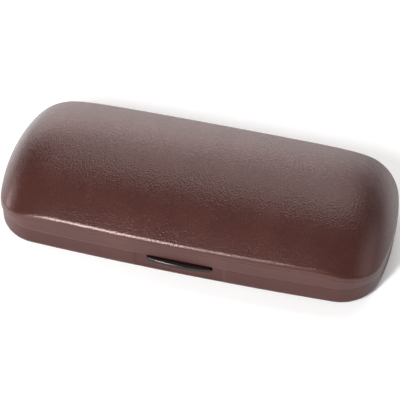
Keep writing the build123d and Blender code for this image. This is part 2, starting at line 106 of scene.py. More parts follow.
# Mesh cleaning, and the angles in degrees past which an edge stays crisp.
WELD_DISTANCE = 0.002
SLIVER_LENGTH = 0.0005
SHELL_SHARP_ANGLE = 38.0
RIM_SHARP_ANGLE = 40.0
WIRE_SHARP_ANGLE = 60.0
SOFT_SHARP_ANGLE = 60.0
PAD_SHARP_ANGLE = 75.0

# Base.
BASE_INSET = 0.4
BASE_EDGE_RADIUS = 2.7
UNDERSIDE_INSETS = (CORE_INSET, 5.5, 4.0, 3.2)
RECESS_HALF = 17.4
RECESS_RAMP = 1.5
RECESS_DEPTH = 0.6
RECESS_FOOT = 0.7
RECESS_RISE = 2.3
RAMP_COLUMN_STEP = 0.5
SLOT_HALF = 13.3
SLOT_BOTTOM = 7.05

# Hinge.
HINGE_Y = 33.75
KNUCKLE_RADIUS = 2.0
PIN_HOLE_RADIUS = 0.75
KNUCKLE_BEVEL = 0.22
HINGE_STATION = 38.0
STATIONS = (-HINGE_STATION, HINGE_STATION)
KNUCKLE_GAP = 0.3
LID_KNUCKLE_HALF = 4.0
BASE_KNUCKLE_START = LID_KNUCKLE_HALF + KNUCKLE_GAP
BASE_KNUCKLE_END = 9.3
BORE_MOUTH = 0.3
BARREL_SIDES = 40
RIM_ROWS = 5

# Webs from the shells to the knuckles: reach from the seam, face on the wall and foot inside it.
LID_WEB_REACH = 5.0
LID_WEB_WALL_Y = 33.3
LID_WEB_FOOT_Y = 32.3
BASE_WEB_REACH = 6.0
BASE_WEB_WALL_Y = 32.9
BASE_WEB_FOOT_Y = 32.0
WEB_SEAM_GAP = 0.2
WEB_FOOT_GAP = 0.3
# Where a web's curve ends on the knuckle and the point that pulls it, in knuckle radii from the hinge axis.
WEB_END_OUT = 0.86
WEB_END_UP = 0.5
WEB_PULL_OUT = 0.2
WEB_PULL_UP = 1.15

# Notches in the back walls, which let the other half's knuckles pass.
LID_NOTCH_START = LID_KNUCKLE_HALF
LID_NOTCH_END = BASE_KNUCKLE_END + KNUCKLE_GAP
LID_NOTCH_TOP = 12.4
LID_NOTCH_TOP_INSIDE = 11.4
BASE_NOTCH_HALF = BASE_KNUCKLE_START
BASE_NOTCH_BOTTOM = 7.7
BASE_NOTCH_BOTTOM_INSIDE = 9.2

# Boss inside the lid's front wall, for the striker.
BOSS_HALF = 9.0
BOSS_FRONT_Y = -32.4
BOSS_BACK_Y = -30.9
BOSS_BOTTOM = 11.0
BOSS_TOP = 15.2
BOSS_BEVEL = 0.2

# Button springs, between the hook plate and the latch block's back wall.
SPRING_X = 8.2
SPRING_Z = 7.35
SPRING_FRONT = -27.5
SPRING_BACK = -23.9
SPRING_RADIUS = 1.2
SPRING_WIRE = 0.2
SPRING_TURNS = 5.5
SPRING_END_SHARE = 0.12
SPRING_STEPS_PER_TURN = 28
SPRING_WIRE_SIDES = 10

# Frames, linings and cushion. The ripples are read from one level of a noise volume.
RIPPLE_LEVEL = 3.7
LIP_INSET = 2.1
LIP_THICKNESS = 1.2
LIP_BOTTOM = 7.4
LIP_TOP = 11.0
LIP_GAP = 20.4
LIP_BEVEL = 0.3
LID_RIM_INSET = 1.65
LID_RIM_THICKNESS = 1.1
LID_RIM_BOTTOM = 11.3
LID_RIM_TOP = 12.0
LID_RIM_GAP = 10.2
LID_RIM_BEVEL = 0.25
LINING_INSET = 1.65
LINING_THICKNESS = 1.2
LINING_RADIUS = 2.0
LINING_BOTTOM = 12.05
LINING_NOTCH_TOP = 15.8
LINING_BACK_RADIUS = 0.55
LINING_LIP_RADIUS = 0.45
LINING_SWELL = 0.18
LINING_RIPPLE = 0.22
LINING_RIPPLE_SIZE = 16.0
LINING_EASE_ROWS = 12
TRAY_OUTER = 2.05
TRAY_INNER = 3.3
TRAY_TOP = 7.35
TRAY_FLOOR = 2.85
TRAY_UNDER = 1.65
TRAY_RADIUS = 2.5
TRAY_UNDER_RADIUS = 1.2
TRAY_WALL_SHARES = (0.35, 0.7, 1.0)
TRAY_LIP_RADIUS = 0.4
TRAY_LIP_START = 0.3
TRAY_LIP_DROP = 0.1
TRAY_SAG = 0.05
TRAY_RIPPLE_SIZE = 14.0
TRAY_BLOCK_HALF = 20.4
TRAY_BLOCK_BACK = -22.3
CUSHION_HALF_LENGTH = 64.0
CUSHION_HALF_DEPTH = 23.5
CUSHION_MIDDLE_Y = 3.0
CUSHION_BOTTOM = 2.9
CUSHION_THICKNESS = 2.3
CUSHION_CORNER = 12.0
CUSHION_CROWN = 0.35
CUSHION_CROWN_POWER = 0.35
CUSHION_SINK = 0.1
CUSHION_DRAW_IN = 0.35
CUSHION_ROUND = 1.1
CUSHION_FLAT_START = 2.2
CUSHION_FLAT_END = 4.0
CUSHION_UNDER_START = 2.0
CUSHION_RIPPLE = 0.12
CUSHION_RIPPLE_SIZE = 9.0

# Colours and depths of the materials.
SHELL_DARK = (0.057, 0.0176, 0.0143, 1)
SHELL_LIGHT = (0.069, 0.0226, 0.0186, 1)
# The base's colours are the lid's colours darkened by about an eighth: painted shade, because the base gets
# less light than the lid.
BASE_SHADED_DARK = (0.050, 0.0150, 0.0122, 1)
BASE_SHADED_LIGHT = (0.060, 0.0192, 0.0158, 1)
# Dark colour of the grain's valleys. It is also mixed into the lid's plain walls as painted shade.
SHELL_VALLEY_AND_SHADE = (0.028, 0.0085, 0.0070, 1)
SHELL_WORN = (0.15, 0.075, 0.065, 1)
SHELL_SHINE = (1.0, 0.82, 0.80, 1)
# Share of the dark colour mixed into the lid's plain walls: painted shade.
WALL_PAINTED_SHADE = 0.16
GRAIN_DEPTH = 0.140
GRAIN_ROUGH = 0.26
WALL_ROUGH = 0.42
# The grain gets shallower towards the front, between these two places along the depth.
GRAIN_FADE_FRONT_Y = -26.0
GRAIN_FADE_BACK_Y = -4.0
GRAIN_FRONT_SHARE = 0.55
BUTTON_BLACK = (0.010, 0.0055, 0.0055, 1)
RIM_DARK = (0.030, 0.014, 0.012, 1)
RIM_LIGHT = (0.042, 0.021, 0.018, 1)
VELOUR_DARK = (0.030, 0.013, 0.011, 1)
VELOUR_LIGHT = (0.060, 0.029, 0.024, 1)
VELOUR_TIP = (0.105, 0.058, 0.048, 1)
VELOUR_SHEEN = (0.9, 0.72, 0.66, 1)
STEEL_DARK = (0.50, 0.50, 0.52, 1)
STEEL_LIGHT = (0.66, 0.66, 0.68, 1)
WIRE_DARK = (0.42, 0.42, 0.44, 1)
WIRE_LIGHT = (0.58, 0.58, 0.60, 1)
FLOOR_DARK = (0.93, 0.93, 0.93, 1)
FLOOR_LIGHT = (0.95, 0.95, 0.95, 1)

# Colour sockets of a Mix node go by number, because their names repeat for each kind of value.
MIX_COLOUR_A = 6
MIX_COLOUR_B = 7
MIX_COLOUR_RESULT = 2

# The grain begins where the surface has turned up this much, and is full past the second step.
GRAIN_START_UP = 0.04
GRAIN_START_RISE = 0.12
GRAIN_FULL_UP = 0.70
GRAIN_FULL_RISE = 0.14
# What stands out further than this behind the lid's outline is hinge, and plain.
KNUCKLE_MARGIN = 0.5

# Stage and camera: places in metres, sensor and lens in millimetres, angles in degrees, shifts as
# shares of the picture's width.
FLOOR_HALF = 4.0
FLOOR_GLOW = 0.14
WORLD_COLOUR = (1.0, 0.99, 0.98, 1)
WORLD_LIGHT = 0.12
# Name, direction from the case, distance, width, height, power in watts, colour.
LIGHTS = [
    ("key", (-0.28, -0.77, 0.53), 0.75, 0.11, 0.38, 7.0, (1, 1, 1)),
    ("front_low", (-0.62, -0.78, 0.16), 0.42, 0.20, 0.16, 0.2, (1, 1, 1)),
    ("left", (-0.97, 0.04, 0.12), 0.8, 0.15, 0.10, 0.6, (1, 1, 1)),
    ("right", (0.88, 0.10, 0.34), 0.9, 0.60, 0.50, 1.0, (1, 1, 1)),
    ("back_low", (-0.40, 0.90, 0.18), 1.4, 1.30, 0.42, 8.2, (1, 0.86, 0.85)),
    ("back_middle", (-0.10, 0.84, 0.50), 1.4, 1.50, 0.60, 3.2, (1, 0.95, 0.95)),
    ("back_top", (-0.04, 0.50, 0.86), 1.3, 1.20, 0.60, 9.0, (1, 1, 1)),
]
SENSOR_WIDTH = 36.0
CAMERA_AZIMUTH = 14.036
CAMERA_ELEVATION = 49.877
CAMERA_DISTANCE = 0.72236
CAMERA_LENS = 160.875
CAMERA_SHIFT_X = 0.000975
CAMERA_SHIFT_Y = -0.0058
CAMERA_REACH = 20.0


# ---------- outlines ----------

def corner_centre():
    """Centre of the +X +Y corner arc, which touches the side arc and the end arc from inside."""
    side_y = HALF_DEPTH - SIDE_RADIUS
    end_x = HALF_LENGTH - END_RADIUS
    to_side = SIDE_RADIUS - CORNER_RADIUS
    to_end = END_RADIUS - CORNER_RADIUS
    apart = hypot(end_x, side_y)
    along = (to_side**2 - to_end**2 + apart**2) / (2 * apart)
    across = sqrt(to_side**2 - along**2)
    ux = end_x / apart
    uy = -side_y / apart
    options = [
        (along * ux + across * uy, side_y + along * uy - across * ux),
        (along * ux - across * uy, side_y + along * uy + across * ux),
    ]
    return max(options)


def four_quarters(points, outs):
    """A loop from the points of its +X +Y quarter, which start on the X axis and end on the Y axis."""
    all_points = []
    all_outs = []
    for sx, sy, backwards, part in (
        (1, 1, False, slice(None)),
        (-1, 1, True, slice(1, None)),
        (-1, -1, False, slice(1, None)),
        (1, -1, True, slice(1, -1)),
    ):
        p = points[::-1] if backwards else points
        o = outs[::-1] if backwards else outs
        sign = np.array([sx, sy])
        all_points.append(p[part] * sign)
        all_outs.append(o[part] * sign)
    return np.concatenate(all_points), np.concatenate(all_outs)


def case_outline(marks):
    """Points and outward directions round the lid, with columns at these distances along the sides."""
    cx, cy = corner_centre()
    side_angle = atan2(cy - (HALF_DEPTH - SIDE_RADIUS), cx)
    end_angle = atan2(cy, cx - (HALF_LENGTH - END_RADIUS))
    tangent_x = SIDE_RADIUS * cos(side_angle)
    angles = []
    centres = []
    radii = []
    for a in np.linspace(0, end_angle, END_COLUMNS)[:-1]:
        angles.append(a)
        centres.append((HALF_LENGTH - END_RADIUS, 0))
        radii.append(END_RADIUS)
    for a in np.linspace(end_angle, side_angle, CORNER_COLUMNS):
        angles.append(a)
        centres.append((cx, cy))
        radii.append(CORNER_RADIUS)
    even = np.linspace(0, tangent_x, SIDE_COLUMNS)[:-1]
    xs = np.unique(np.concatenate([even, marks]))[::-1]
    for x in xs:
        angles.append(np.arccos(x / SIDE_RADIUS))
        centres.append((0, HALF_DEPTH - SIDE_RADIUS))
        radii.append(SIDE_RADIUS)
    angles = np.array(angles)
    outs = np.column_stack([np.cos(angles), np.sin(angles)])
    points = np.array(centres) + outs * np.array(radii)[:, None]
    return four_quarters(points, outs)


def rounded_outline(half_x, half_y, corner, end_count, corner_count, side_count):
    """Points and outward directions round a rounded rectangle."""
    points = [(half_x, y) for y in np.linspace(0, half_y - corner, end_count)[:-1]]
    outs = [(1.0, 0.0)] * len(points)
    for a in np.linspace(0, pi / 2, corner_count):
        outs.append((cos(a), sin(a)))
        points.append((half_x - corner + corner * cos(a), half_y - corner + corner * sin(a)))
    for x in np.linspace(half_x - corner, 0, side_count)[1:]:
        points.append((x, half_y))
        outs.append((0.0, 1.0))
    return four_quarters(np.array(points), np.array(outs))


def side_marks():
    """Distances along the sides where a notch, gap, slot or ramp needs a column of its own."""
    marks = []
    for away in (LID_NOTCH_START, BASE_NOTCH_HALF, BASE_KNUCKLE_END, LID_NOTCH_END):
        for edge in (HINGE_STATION - away, HINGE_STATION + away):
            outer = SHARP if edge > HINGE_STATION else -SHARP
            marks += [edge, edge + outer]
    for edge in (LID_RIM_GAP, SLOT_HALF, TRAY_BLOCK_HALF, TRAY_BLOCK_HALF + LINING_THICKNESS):
        marks += [edge, edge + SHARP]
    ramp_start = RECESS_HALF - RAMP_COLUMN_STEP
    ramp_end = RECESS_HALF + RECESS_RAMP + RAMP_COLUMN_STEP
    ramp_columns = round((ramp_end - ramp_start) / RAMP_COLUMN_STEP) + 1
    marks += np.linspace(ramp_start, ramp_end, ramp_columns).tolist()
    return np.array(marks)


OUTLINE, OUTWARD = case_outline(side_marks())
COUNT = len(OUTLINE)
SIDE_X = OUTLINE[:, 0]
IS_FRONT = OUTLINE[:, 1] < 0
IS_BACK = OUTLINE[:, 1] > 0


def ring(inset, z):
    """The outline moved inward and set at a height. Both may differ from column to column."""
    xy = OUTLINE - OUTWARD * np.broadcast_to(inset, (COUNT,))[:, None]
    return np.column_stack([xy, np.broadcast_to(z, (COUNT,))])


def smooth_step(t):
    t = np.clip(t, 0, 1)
    return t * t * (3 - 2 * t)


# ---------- the crowned lid form ----------

def dome_height(x, y, drop):
    """Height of the crown over a point, moved inward by drop."""
    cross = CROSS_SLOPE * (np.sqrt(y * y + CROSS_BEND**2) - CROSS_BEND)
    end = END_FALL * (x / HALF_LENGTH) ** END_POWER
    slope_x = END_FALL * END_POWER / HALF_LENGTH * (x / HALF_LENGTH) ** (END_POWER - 1)
    slope_y = CROSS_SLOPE * y / np.sqrt(y * y + CROSS_BEND**2)
    return CROWN_Z - cross - end - drop * np.sqrt(1 + slope_x**2 + slope_y**2)


def to_middle(outer, height_of, rows):
    """Rows from a ring in to the middle line of the case."""
    target = np.column_stack([outer[:, 0] * CORE_SHARE, np.zeros(len(outer))])
    result = []
    for u in np.linspace(0, 1, rows + 1)[1:]:
        xy = outer[:, :2] * (1 - u) + target * u
        result.append(np.column_stack([xy, height_of(xy[:, 0], xy[:, 1])]))
    return result


def shoulder(inset, drop, radius):
    """Fits a rounded shoulder between wall and dome, for every column.

    Returns the inset where it meets the dome, the height of its centre, the angle it turns through and
    the dome's height as a function of the inset.
    """

    def height(d):
        p = ring(d, 0)
        return dome_height(p[:, 0], p[:, 1], drop)

    def slope_at(d):
        return (height(d + SLOPE_STEP) - height(d - SLOPE_STEP)) / (2 * SLOPE_STEP)

    low = np.full(COUNT, float(inset))
    high = low + radius
    for _ in range(HALVINGS):
        middle = (low + high) / 2
        slope = slope_at(middle)
        beyond = middle + radius * slope / np.sqrt(1 + slope**2) > inset + radius
        high = np.where(beyond, middle, high)
        low = np.where(beyond, low, middle)
    slope = slope_at(low)
    length = np.sqrt(1 + slope**2)
    return low, height(low) - radius / length, np.arctan2(1 / length, slope / length), height


def dome_rows(inset, drop, radius, foot, wall_rows, arc_rows, crown_rows, core_rows, parting=False):
    """Rows up the wall from foot, round the shoulder and over the crown to the middle line."""
    step = PARTING_STEP if parting else 0.0
    touch, centre_z, sweep, height = shoulder(inset + step, drop, radius)
    rows = []
    if parting:
        start = centre_z - PARTING_DROP - PARTING_HEIGHT
        for t in np.linspace(0, 1, wall_rows):
            rows.append(ring(inset, foot + (start - foot) * t))
        for t in PARTING_SHARES:
            rows.append(ring(inset + step * smooth_step(t), start + PARTING_HEIGHT * t))
        rows.append(ring(inset + step, centre_z - PARTING_DROP / 2))
    else:
        for t in np.linspace(0, 1, wall_rows)[:-1]:
            rows.append(ring(inset, foot + (centre_z - foot) * t))
    for t in np.linspace(0, 1, arc_rows):
        turn = sweep * t
        rows.append(ring(inset + step + radius * (1 - np.cos(turn)), centre_z + radius * np.sin(turn)))
    for t in np.linspace(0, 1, crown_rows)[1:]:
        d = touch + (CORE_INSET - touch) * t**ROW_CROWDING
        rows.append(ring(d, height(d)))
    rows += to_middle(rows[-1], lambda x, y: dome_height(x, y, drop), core_rows)
    return rows


# ---------- meshes ----------

def finish_mesh(name, points, faces, material, sharp, body, replaced):
    """Makes a piece that rides a body in place of CAD nodes. Edges past the sharp angle stay crisp."""
    mesh = bpy.data.meshes.new(name)
    mesh.from_pydata((np.asarray(points) * MM).tolist(), [], faces)
    work = bmesh.new()
    work.from_mesh(mesh)
    bmesh.ops.remove_doubles(work, verts=work.verts, dist=WELD_DISTANCE * MM)
    bmesh.ops.dissolve_degenerate(work, edges=work.edges, dist=SLIVER_LENGTH * MM)
    bmesh.ops.recalc_face_normals(work, faces=work.faces)
    work.to_mesh(mesh)
    work.free()
    mesh.shade_smooth()
    mesh.set_sharp_from_angle(angle=radians(sharp))
    mesh.materials.append(material)
    thing = bpy.data.objects.new(name, mesh)
    bpy.context.scene.collection.objects.link(thing)
    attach(thing, body)
    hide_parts(*replaced)
    return thing


def loop_faces(row_count, columns, start):
    """Faces between rows that each close on themselves."""
    faces = []
    for r in range(row_count - 1):
        a = start + r * columns
        b = a + columns
        for c in range(columns):
            d = (c + 1) % columns
            faces.append((a + c, a + d, b + d, b + c))
    return faces


def strip_faces(row_count, columns, start):
    """Faces of a bar along open rows, closed from the last row to the first and at both ends."""
    faces = []
    for r in range(row_count):
        a = start + r * columns
        b = start + (r + 1) % row_count * columns
        for c in range(columns - 1):
            faces.append((a + c, a + c + 1, b + c + 1, b + c))
    faces.append(tuple(start + r * columns for r in range(row_count)))
    faces.append(tuple(start + r * columns + columns - 1 for r in reversed(range(row_count))))
    return faces


class Build:
    """Points and faces of one piece, gathered from several closed forms."""

    def __init__(self):
        self.points = []
        self.faces = []

    def rows(self, rows):
        """Adds a form from rows that each close on themselves."""
        start = len(self.points)
        self.points.extend(np.concatenate(rows).tolist())
        self.faces.extend(loop_faces(len(rows), len(rows[0]), start))

    def strip(self, rows):
        """Adds a bar along open rows."""
        start = len(self.points)
        self.points.extend(np.concatenate(rows).tolist())
        self.faces.extend(strip_faces(len(rows), len(rows[0]), start))

    def prism_x(self, x0, x1, section, bevel):
        """A bar along X with this closed (y, z) section, its ends bevelled."""
        section = np.asarray(section)
        middle = section.mean(axis=0)
        reach = np.abs(section - middle).max()
        rows = []
        for x, shrink in ((x0, bevel), (x0 + bevel, 0), (x1 - bevel, 0), (x1, bevel)):
            yz = middle + (section - middle) * (1 - shrink / reach)
            rows.append(np.column_stack([np.full(len(yz), x), yz]))
        start = len(self.points)
        count = len(section)
        self.points.extend(np.concatenate(rows).tolist())
        self.faces.extend(loop_faces(len(rows), count, start))
        self.faces.append(tuple(start + i for i in reversed(range(count))))
        self.faces.append(tuple(start + (len(rows) - 1) * count + i for i in range(count)))

    def barrel(self, x0, x1, radius, hole, bevel, y, z):
        """A tube along X with rounded rims."""
        profile = [(x0 + BORE_MOUTH, hole), (x0, hole), (x0, radius - bevel)]
        for a in np.linspace(0, pi / 2, RIM_ROWS)[1:]:
            profile.append((x0 + bevel * (1 - cos(a)), radius - bevel + bevel * sin(a)))
        for a in np.linspace(0, pi / 2, RIM_ROWS):
            profile.append((x1 - bevel + bevel * sin(a), radius - bevel + bevel * cos(a)))
        profile += [(x1, hole), (x1 - BORE_MOUTH, hole)]
        turns = np.linspace(0, 2 * pi, BARREL_SIDES + 1)[:-1]
        rows = []
        for px, pr in profile:
            rows.append(np.column_stack([
                np.full(len(turns), px), y + pr * np.cos(turns), z + pr * np.sin(turns)
            ]))
        rows.append(rows[0])
        self.rows(rows)


# ---------- materials ----------

class Shader:
    """Short ways to add and join nodes of one material."""

    def __init__(self, name):
        self.material = bpy.data.materials.new(name)
        self.material.use_nodes = True
        self.tree = self.material.node_tree
        self.surface = self.tree.nodes["Principled BSDF"]
        place = self.tree.nodes.new("ShaderNodeTexCoord")
        self.mm = self.math_vector("SCALE", place.outputs["Object"], scale=1 / MM)

    def link(self, out, target):
        self.tree.links.new(out, target)

    def math_vector(self, operation, a, b=None, scale=None):
        node = self.tree.nodes.new("ShaderNodeVectorMath")
        node.operation = operation
        self.put(a, node.inputs[0])
        if b is not None:
            self.put(b, node.inputs[1])
        if scale is not None:
            node.inputs["Scale"].default_value = scale
        return node.outputs["Vector"]

    def along_y(self):
        """Distance towards the back of the case, in millimetres."""
        node = self.tree.nodes.new("ShaderNodeVectorMath")
        node.operation = "DOT_PRODUCT"
        self.link(self.mm, node.inputs[0])
        node.inputs[1].default_value = (0, 1, 0)
        return node.outputs["Value"]

    def put(self, value, target):
        """Sets an input to a value, or links it where the value is another node's output."""
        if isinstance(value, bpy.types.NodeSocket):
            self.link(value, target)
        else:
            target.default_value = value

    def math(self, operation, a, b):
        node = self.tree.nodes.new("ShaderNodeMath")
        node.operation = operation
        self.put(a, node.inputs[0])
        self.put(b, node.inputs[1])
        return node.outputs["Value"]

    def noise(self, scale, detail, rough, vector=None):
        node = self.tree.nodes.new("ShaderNodeTexNoise")
        self.link(self.mm if vector is None else vector, node.inputs["Vector"])
        node.inputs["Scale"].default_value = scale
        node.inputs["Detail"].default_value = detail
        node.inputs["Roughness"].default_value = rough
        return node

    def cells(self, scale, vector=None, feature="SMOOTH_F1", smooth=0.35):
        node = self.tree.nodes.new("ShaderNodeTexVoronoi")
        node.feature = feature
        self.link(self.mm if vector is None else vector, node.inputs["Vector"])
        node.inputs["Scale"].default_value = scale
        if feature == "SMOOTH_F1":
            node.inputs["Smoothness"].default_value = smooth
        return node.outputs["Distance"]

    def stretch(self, x, y, z):
        """The place in millimetres, scaled along each axis."""
        node = self.tree.nodes.new("ShaderNodeVectorMath")
        node.operation = "MULTIPLY"
        self.link(self.mm, node.inputs[0])
        node.inputs[1].default_value = (x, y, z)
        return node.outputs["Vector"]

    def between(self, value, low, high, to_low, to_high):
        """Takes a value from the range low to high to the range to_low to to_high, with soft ends."""
        node = self.tree.nodes.new("ShaderNodeMapRange")
        node.interpolation_type = "SMOOTHSTEP"
        self.put(value, node.inputs["Value"])
        node.inputs["From Min"].default_value = low
        node.inputs["From Max"].default_value = high
        self.put(to_low, node.inputs["To Min"])
        self.put(to_high, node.inputs["To Max"])
        return node.outputs["Result"]

    def mix(self, share, a, b):
        node = self.tree.nodes.new("ShaderNodeMix")
        node.data_type = "RGBA"
        self.put(share, node.inputs["Factor"])
        self.put(a, node.inputs[MIX_COLOUR_A])
        self.put(b, node.inputs[MIX_COLOUR_B])
        return node.outputs[MIX_COLOUR_RESULT]

    def bump(self, height, distance_mm, strength=1.0, normal=None):
        """The normal of a relief this deep, laid over another normal where one is given."""
        node = self.tree.nodes.new("ShaderNodeBump")
        self.link(height, node.inputs["Height"])
        node.inputs["Distance"].default_value = distance_mm * MM
        self.put(strength, node.inputs["Strength"])
        if normal is not None:
            self.link(normal, node.inputs["Normal"])
        return node.outputs["Normal"]

    def attribute(self, name):
        node = self.tree.nodes.new("ShaderNodeAttribute")
        node.attribute_name = name
        return node.outputs["Fac"]

    def set(self, **values):
        """Puts values into the surface's inputs, and returns the material."""
        names = {
            "color": "Base Color", "rough": "Roughness", "metal": "Metallic", "normal": "Normal",
            "specular": "Specular IOR Level", "sheen": "Sheen Weight", "sheen_rough": "Sheen Roughness",
            "sheen_tint": "Sheen Tint", "shine": "Specular Tint", "glow": "Emission Color",
            "glow_strength": "Emission Strength",
        }
        for key, value in values.items():
            self.put(value, self.surface.inputs[names[key]])
        return self.material


def shell_material(name, grained):
    """Moulded maroon plastic, with a leather grain where the mesh's grain attribute asks for it. The plain
    kind, for the base, has darker colours: painted shade.
    """
    s = Shader(name)
    patches = s.noise(scale=0.055, detail=3.0, rough=0.55).outputs["Fac"]
    fine = s.noise(scale=3.2, detail=2.0, rough=0.5).outputs["Fac"]
    # The base's colours carry painted shade.
    dark = SHELL_DARK if grained else BASE_SHADED_DARK
    light = SHELL_LIGHT if grained else BASE_SHADED_LIGHT
    colour = s.mix(s.between(patches, 0.35, 0.7, 0.0, 1.0), dark, light)
    scuffs = s.noise(scale=1.0, detail=4.0, rough=0.6, vector=s.stretch(0.15, 0.5, 0.5)).outputs["Fac"]
    wear = s.between(scuffs, 0.52, 0.75, 0.0, 0.05)
    colour = s.mix(wear, colour, SHELL_WORN)
    wall_normal = s.bump(fine, 0.012, 0.35)
    if not grained:
        rough = s.between(patches, 0.3, 0.7, 0.40, 0.46)
        return s.set(color=colour, rough=rough, normal=wall_normal, specular=0.38, shine=SHELL_SHINE)
    mask = s.attribute("grain")
    # Painted shade: the lid's plain, ungrained parts, such as its walls, are darkened with the dark valley
    # colour.
    colour = s.mix(s.between(mask, 0.0, 0.3, WALL_PAINTED_SHADE, 0.0), colour, SHELL_VALLEY_AND_SHADE)
    bend = s.noise(scale=0.9, detail=2.0, rough=0.5).outputs["Color"]
    swirl = s.math_vector("SCALE", bend, scale=0.4)
    warped = s.math_vector("ADD", s.mm, swirl)
    pebbles = s.cells(1.7, warped, smooth=0.25)
    wrinkles = s.noise(scale=1.5, detail=3.0, rough=0.6, vector=warped).outputs["Fac"]
    height = s.math("ADD", s.math("MULTIPLY", pebbles, 0.9), s.math("MULTIPLY", wrinkles, 1.1))
    fade = s.between(s.along_y(), GRAIN_FADE_FRONT_Y, GRAIN_FADE_BACK_Y, GRAIN_FRONT_SHARE, 1.0)
    depth = s.math("MULTIPLY", mask, fade)
    normal = s.bump(height, GRAIN_DEPTH, depth, wall_normal)
    valley = s.between(height, 0.55, 1.15, 0.0, 0.60)
    colour = s.mix(s.math("MULTIPLY", valley, depth), colour, SHELL_VALLEY_AND_SHADE)
    rough = s.between(mask, 0.1, 0.4, WALL_ROUGH, GRAIN_ROUGH)
    return s.set(color=colour, rough=rough, normal=normal, specular=0.5, shine=SHELL_SHINE)


def button_material():
    s = Shader("button_plastic")
    smear = s.noise(scale=0.35, detail=3.0, rough=0.6).outputs["Fac"]
    fine = s.noise(scale=6.0, detail=2.0, rough=0.5).outputs["Fac"]
    rough = s.between(smear, 0.3, 0.7, 0.13, 0.20)
    normal = s.bump(fine, 0.004, 0.3)
    return s.set(color=BUTTON_BLACK, rough=rough, normal=normal, specular=0.4, shine=SHELL_SHINE)


def rim_material():
    s = Shader("rim_plastic")
    patches = s.noise(scale=0.25, detail=3.0, rough=0.5).outputs["Fac"]
    fine = s.noise(scale=5.0, detail=2.0, rough=0.6).outputs["Fac"]
    colour = s.mix(s.between(patches, 0.3, 0.7, 0.0, 1.0), RIM_DARK, RIM_LIGHT)
    return s.set(color=colour, rough=0.42, normal=s.bump(fine, 0.01, 0.4), specular=0.5)


def velour_material():
    s = Shader("velour")
    nap = s.noise(scale=0.16, detail=3.0, rough=0.6, vector=s.stretch(0.6, 1.0, 1.0)).outputs["Fac"]
    pile = s.noise(scale=5.5, detail=3.0, rough=0.7).outputs["Fac"]
    tufts = s.cells(3.4, feature="F1")
    colour = s.mix(s.between(nap, 0.35, 0.68, 0.0, 1.0), VELOUR_DARK, VELOUR_LIGHT)
    colour = s.mix(s.between(pile, 0.35, 0.7, 0.0, 0.45), colour, VELOUR_TIP)
    height = s.math("ADD", pile, s.math("MULTIPLY", tufts, 0.8))
    normal = s.bump(height, 0.16, 0.8)
    return s.set(
        color=colour, rough=0.95, normal=normal, specular=0.15, sheen=0.55, sheen_rough=0.45,
        sheen_tint=VELOUR_SHEEN,
    )


def steel_material(name, dark, light, low, high):
    s = Shader(name)
    brushed = s.noise(scale=2.2, detail=4.0, rough=0.6, vector=s.stretch(0.3, 3.0, 3.0)).outputs["Fac"]
    spots = s.noise(scale=0.8, detail=3.0, rough=0.6).outputs["Fac"]
    colour = s.mix(s.between(spots, 0.35, 0.7, 0.0, 1.0), dark, light)
    rough = s.between(brushed, 0.3, 0.7, low, high)
    return s.set(color=colour, rough=rough, metal=1.0, normal=s.bump(brushed, 0.006, 0.5))


LID_PLASTIC = shell_material("shell_plastic_grained", True)
BASE_PLASTIC_SHADED = shell_material("shell_plastic_plain_shaded", False)
BUTTON_PLASTIC = button_material()
RIM_PLASTIC = rim_material()
VELOUR = velour_material()
STEEL = steel_material("plated_steel", STEEL_DARK, STEEL_LIGHT, 0.22, 0.38)
SPRING_STEEL = steel_material("spring_wire", WIRE_DARK, WIRE_LIGHT, 0.20, 0.32)


# ---------- hard pieces ----------

def near_station(half_from, half_to):
    """Columns of the back wall between two distances from a hinge station."""
    hit = np.zeros(COUNT, bool)
    for station in STATIONS:
        away = np.abs(SIDE_X - station)
        hit |= (away > half_from) & (away < half_to)
    return hit & IS_BACK


def web_section(tip_z, wall_y, foot_y):
    """Side view of the web that carries a knuckle, a soft curve from wall to barrel."""
    side = 1 if tip_z > SEAM_Z else -1
    axis = np.array([HINGE_Y, SEAM_Z])
    start = np.array([wall_y, tip_z])
    end = axis + KNUCKLE_RADIUS * np.array([WEB_END_OUT, side * WEB_END_UP])
    pull = axis + KNUCKLE_RADIUS * np.array([WEB_PULL_OUT, side * WEB_PULL_UP])
    shares = np.linspace(0, 1, WEB_ROWS)
    curve = [start * (1 - t) ** 2 + pull * 2 * t * (1 - t) + end * t**2 for t in shares]
    low = [(HINGE_Y, SEAM_Z + side * WEB_SEAM_GAP), (foot_y, SEAM_Z + side * WEB_FOOT_GAP), (foot_y, tip_z)]
    return [tuple(c) for c in curve] + low


def mark_grain(mesh):
    """Stores how grained each point of the lid is: the walls and the knuckles stay plain."""
    normals = np.empty(len(mesh.vertices) * 3)
    mesh.vertices.foreach_get("normal", normals)
    places = np.empty(len(mesh.vertices) * 3)
    mesh.vertices.foreach_get("co", places)
    up = normals[2::3]
    on_lid = np.abs(places[1::3]) < (HALF_DEPTH + KNUCKLE_MARGIN) * MM
    start = smooth_step((up - GRAIN_START_UP) / GRAIN_START_RISE)
    full = smooth_step((up - GRAIN_FULL_UP) / GRAIN_FULL_RISE)
    grain = (0.5 * start + 0.5 * full) * on_lid
    layer = mesh.attributes.new("grain", "FLOAT", "POINT")
    layer.data.foreach_set("value", grain.astype(np.float32))


